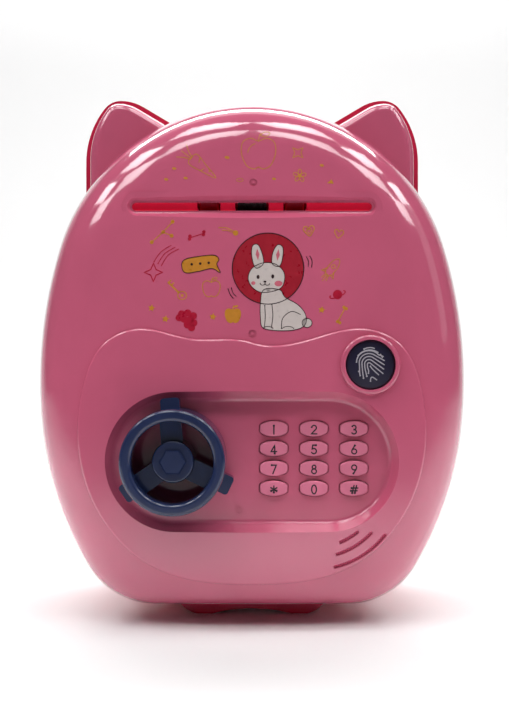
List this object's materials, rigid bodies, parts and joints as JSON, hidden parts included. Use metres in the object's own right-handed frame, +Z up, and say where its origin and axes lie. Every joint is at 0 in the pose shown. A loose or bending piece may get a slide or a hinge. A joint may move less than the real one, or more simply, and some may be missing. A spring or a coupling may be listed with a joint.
{
  "type": "toy safe coin bank",
  "caption": "Egg-shaped toy money safe with cat ears, a swinging front door, a vault wheel, a numbered keypad, a push button and a banknote slot.",
  "frame": {"origin": "on the ground, under the middle of the object's box, with the door closed and the latch drawn back", "axes": "+Z up, -Y towards the person at the door, +X to that person's right, where the hinge is"},
  "size_m": [0.1876, 0.135, 0.2338],
  "materials": {
    "shell_pink": "gloss",
    "tub_rose": "gloss",
    "cover_rose": "satin",
    "knob_navy": "gloss",
    "button_navy": "satin",
    "key_pink": "matte",
    "feeder_red": "gloss",
    "wheel_red": "satin",
    "black_rubber": "matte",
    "key_rubber": "matte",
    "steel": "satin",
    "board_green": "satin",
    "part_black": "matte",
    "copper_coil": "satin",
    "cone_paper": "matte",
    "white_nylon": "satin",
    "cloth_rose": "matte",
    "cell_wrap": "gloss"
  },
  "bodies": {
    "tub": {"rear_tub": "tub_rose", "strike_plate": "tub_rose", "feet": "tub_rose", "coin_guide": "tub_rose", "ear_cover_left": "shell_pink", "ear_cover_right": "shell_pink", "hinge_pin": "steel"},
    "door": {"door_shell": "shell_pink", "tray_pan": "shell_pink", "slot_frame": "shell_pink", "inner_cover": "cover_rose", "cover_screws": "steel", "solenoid_frame": "steel", "solenoid_coil": "copper_coil", "keypad_membrane": "key_rubber", "keypad_board": "board_green", "board_parts": "part_black", "small_screws": "steel", "fingerprint_board": "board_green", "speaker_frame": "steel", "speaker_cone": "cone_paper", "speaker_clamp": "part_black", "speaker_cloth": "cloth_rose", "feeder_housing": "feeder_red", "feed_motor": "steel", "battery_box": "part_black", "battery_cells": "cell_wrap", "battery_contacts": "steel", "battery_lid": "cover_rose"},
    "knob": {"handwheel": "knob_navy", "hub_cap": "knob_navy", "knob_shaft": "white_nylon", "knob_screw": "steel", "latch_pinion": "white_nylon"},
    "bolt": {"latch_bolt": "white_nylon", "latch_hook": "white_nylon", "latch_stop": "steel", "latch_rack": "white_nylon"},
    "plunger": {"solenoid_plunger": "steel"},
    "drive_roll": {"drive_shaft": "steel", "drive_roller": "black_rubber", "drive_wheels": "wheel_red", "feed_gear": "white_nylon"},
    "idler_roll": {"idler_shaft": "steel", "idler_roller": "black_rubber", "idler_wheels": "wheel_red"},
    "motor_shaft": {"motor_pinion": "white_nylon"},
    "button": {"fingerprint_button": "button_navy"},
    "key_1": {"key_1": "key_pink"},
    "key_2": {"key_2": "key_pink"},
    "key_3": {"key_3": "key_pink"},
    "key_4": {"key_4": "key_pink"},
    "key_5": {"key_5": "key_pink"},
    "key_6": {"key_6": "key_pink"},
    "key_7": {"key_7": "key_pink"},
    "key_8": {"key_8": "key_pink"},
    "key_9": {"key_9": "key_pink"},
    "key_star": {"key_star": "key_pink"},
    "key_0": {"key_0": "key_pink"},
    "key_hash": {"key_hash": "key_pink"}
  },
  "joints": [
    {"name": "door_hinge", "type": "hinge", "parent": "tub", "child": "door", "pos_m": [0.0892, -0.016, 0.109], "axis": [0, 0, 1], "range_deg": [0, 110]},
    {"name": "knob_turn", "type": "hinge", "parent": "door", "child": "knob", "pos_m": [-0.0322, -0.045, 0.0734], "axis": [0, -1, 0], "range_deg": [0, 70]},
    {"name": "bolt_slide", "type": "slide", "parent": "door", "child": "bolt", "axis": [-1, 0, 0], "range_m": [0, 0.00734]},
    {"name": "plunger_slide", "type": "slide", "parent": "door", "child": "plunger", "axis": [0, 0, -1], "range_m": [0, 0.0036], "stiffness_N_per_m": 60, "springref_m": -0.002},
    {"name": "drive_spin", "type": "hinge", "parent": "door", "child": "drive_roll", "pos_m": [0, -0.032, 0.1723], "axis": [1, 0, 0], "continuous": true},
    {"name": "idler_spin", "type": "hinge", "parent": "door", "child": "idler_roll", "pos_m": [0, -0.032, 0.1855], "axis": [1, 0, 0], "continuous": true},
    {"name": "motor_spin", "type": "hinge", "parent": "door", "child": "motor_shaft", "pos_m": [0.05, -0.032, 0.16015], "axis": [1, 0, 0], "continuous": true},
    {"name": "button_press", "type": "slide", "parent": "door", "child": "button", "axis": [0, 1, 0], "range_m": [0, 0.0015], "stiffness_N_per_m": 300},
    {"name": "press_1", "type": "slide", "parent": "door", "child": "key_1", "axis": [0, 1, 0], "range_m": [0, 0.0013], "stiffness_N_per_m": 200},
    {"name": "press_2", "type": "slide", "parent": "door", "child": "key_2", "axis": [0, 1, 0], "range_m": [0, 0.0013], "stiffness_N_per_m": 200},
    {"name": "press_3", "type": "slide", "parent": "door", "child": "key_3", "axis": [0, 1, 0], "range_m": [0, 0.0013], "stiffness_N_per_m": 200},
    {"name": "press_4", "type": "slide", "parent": "door", "child": "key_4", "axis": [0, 1, 0], "range_m": [0, 0.0013], "stiffness_N_per_m": 200},
    {"name": "press_5", "type": "slide", "parent": "door", "child": "key_5", "axis": [0, 1, 0], "range_m": [0, 0.0013], "stiffness_N_per_m": 200},
    {"name": "press_6", "type": "slide", "parent": "door", "child": "key_6", "axis": [0, 1, 0], "range_m": [0, 0.0013], "stiffness_N_per_m": 200},
    {"name": "press_7", "type": "slide", "parent": "door", "child": "key_7", "axis": [0, 1, 0], "range_m": [0, 0.0013], "stiffness_N_per_m": 200},
    {"name": "press_8", "type": "slide", "parent": "door", "child": "key_8", "axis": [0, 1, 0], "range_m": [0, 0.0013], "stiffness_N_per_m": 200},
    {"name": "press_9", "type": "slide", "parent": "door", "child": "key_9", "axis": [0, 1, 0], "range_m": [0, 0.0013], "stiffness_N_per_m": 200},
    {"name": "press_star", "type": "slide", "parent": "door", "child": "key_star", "axis": [0, 1, 0], "range_m": [0, 0.0013], "stiffness_N_per_m": 200},
    {"name": "press_0", "type": "slide", "parent": "door", "child": "key_0", "axis": [0, 1, 0], "range_m": [0, 0.0013], "stiffness_N_per_m": 200},
    {"name": "press_hash", "type": "slide", "parent": "door", "child": "key_hash", "axis": [0, 1, 0], "range_m": [0, 0.0013], "stiffness_N_per_m": 200}
  ],
  "couplings": [
    {"joint": "bolt_slide", "follows": "knob_turn", "m_per_rad": 0.006},
    {"joint": "idler_spin", "follows": "drive_spin", "ratio": -1},
    {"joint": "motor_spin", "follows": "drive_spin", "ratio": -2}
  ]
}
